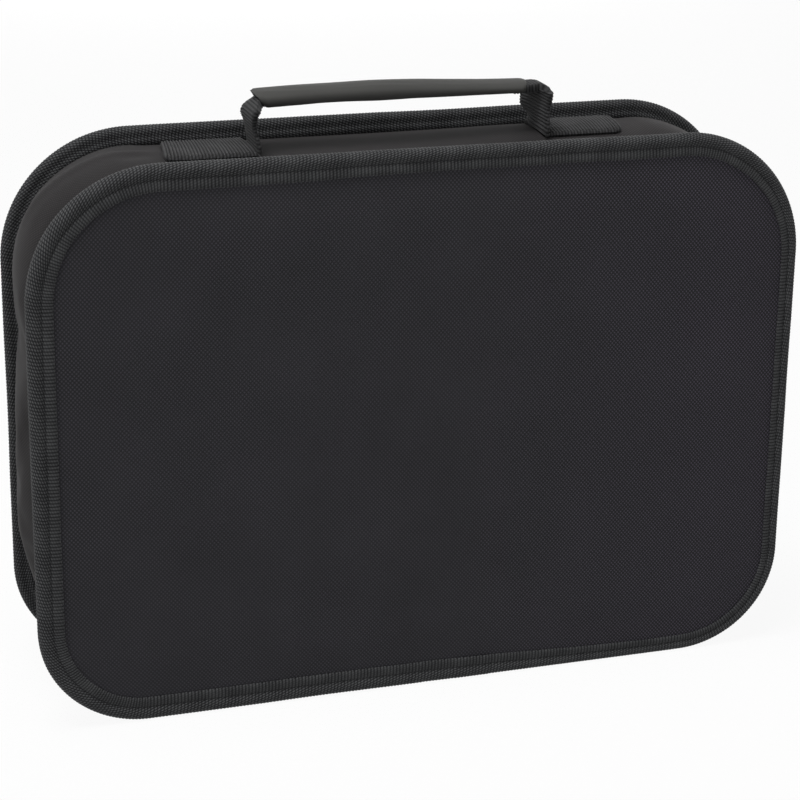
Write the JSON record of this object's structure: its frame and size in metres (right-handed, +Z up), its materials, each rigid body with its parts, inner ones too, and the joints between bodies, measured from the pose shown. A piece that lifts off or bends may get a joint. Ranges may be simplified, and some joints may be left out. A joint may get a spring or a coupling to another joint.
{
  "type": "soft tool carrying case",
  "caption": "Black soft zip-up carrying case for a small rotary tool kit: two bound panels, zip wall, fabric hinge and webbing handle.",
  "frame": {"origin": "under the middle of the case, on the surface that its bound edges stand on", "axes": "+X across the panels to the right, +Y from the lid to the rear panel, +Z up to the handle"},
  "size_m": [0.38, 0.086, 0.2924],
  "materials": {
    "panel_fabric": "woven matt",
    "wall_fabric": "woven matt",
    "binding_tape": "ribbed",
    "webbing": "ribbed",
    "lining_fabric": "woven satin",
    "elastic": "knitted",
    "net": "open net",
    "zip_tape": "woven",
    "zip_coil": "satin",
    "stiffener": "matt",
    "foam": "matt",
    "slider_metal": "satin black",
    "pull_rubber": "matt"
  },
  "bodies": {
    "base": {"rear_panel": "panel_fabric", "rear_board": "stiffener", "rear_lining": "lining_fabric", "rear_binding": "binding_tape", "base_gusset": "wall_fabric", "gusset_foam": "foam", "gusset_lining": "lining_fabric", "handle_backing": "stiffener", "zip_tape_base": "zip_tape", "zip_coil_base": "zip_coil", "hinge_strip": "wall_fabric", "zip_end_tab_left": "wall_fabric", "zip_end_tab_right": "wall_fabric", "accessory_loops": "elastic", "tool_strap_left": "elastic", "tool_strap_right": "elastic", "handle_tab_left": "webbing", "handle_tab_right": "webbing"},
    "lid": {"front_panel": "panel_fabric", "front_board": "stiffener", "front_lining": "lining_fabric", "front_binding": "binding_tape", "zip_tape_lid": "zip_tape", "zip_coil_lid": "zip_coil", "pocket_edging": "binding_tape", "mesh_pocket": "net", "pocket_elastic": "elastic"},
    "slider_left_body": {"slider_left": "slider_metal"},
    "slider_right_body": {"slider_right": "slider_metal"},
    "pull_left": {"pull_tab_left": "slider_metal", "pull_grip_left": "pull_rubber"},
    "pull_right": {"pull_tab_right": "slider_metal", "pull_grip_right": "pull_rubber"},
    "handle_legs": {"leg_left_lower": "webbing", "leg_right_lower": "webbing"},
    "handle_grip": {"leg_left_upper": "webbing", "leg_right_upper": "webbing", "grip_webbing": "webbing", "grip_sleeve": "wall_fabric"}
  },
  "joints": [
    {"name": "lid_hinge", "type": "hinge", "parent": "base", "child": "lid", "pos_m": [0, -0.028, 0.0045], "axis": [1, 0, 0], "range_deg": [0, 180], "deforming": ["hinge_strip", "zip_end_tab_left", "zip_end_tab_right"]},
    {"name": "slider_left_slide", "type": "slide", "parent": "base", "child": "slider_left_body", "axis": [-1, 0, 0], "range_m": [0, 0.106]},
    {"name": "slider_right_slide", "type": "slide", "parent": "base", "child": "slider_right_body", "axis": [1, 0, 0], "range_m": [0, 0.106]},
    {"name": "pull_left_swing", "type": "hinge", "parent": "slider_left_body", "child": "pull_left", "pos_m": [-0.00925, -0.024, 0.26475], "axis": [0, 1, 0], "range_deg": [0, 105]},
    {"name": "pull_right_swing", "type": "hinge", "parent": "slider_right_body", "child": "pull_right", "pos_m": [0.00925, -0.024, 0.26475], "axis": [0, -1, 0], "range_deg": [0, 105]},
    {"name": "handle_tilt", "type": "hinge", "parent": "base", "child": "handle_legs", "pos_m": [0, 0.009, 0.262], "axis": [1, 0, 0], "range_deg": [-35, 35], "stiffness_Nm_per_rad": 0.15, "deforming": ["leg_left_lower", "leg_right_lower"]},
    {"name": "handle_press", "type": "slide", "parent": "handle_legs", "child": "handle_grip", "axis": [0, 0, 1], "range_m": [-0.01, 0.003], "stiffness_N_per_m": 400, "springref_m": 0.0006, "deforming": ["leg_left_upper", "leg_right_upper"]}
  ]
}
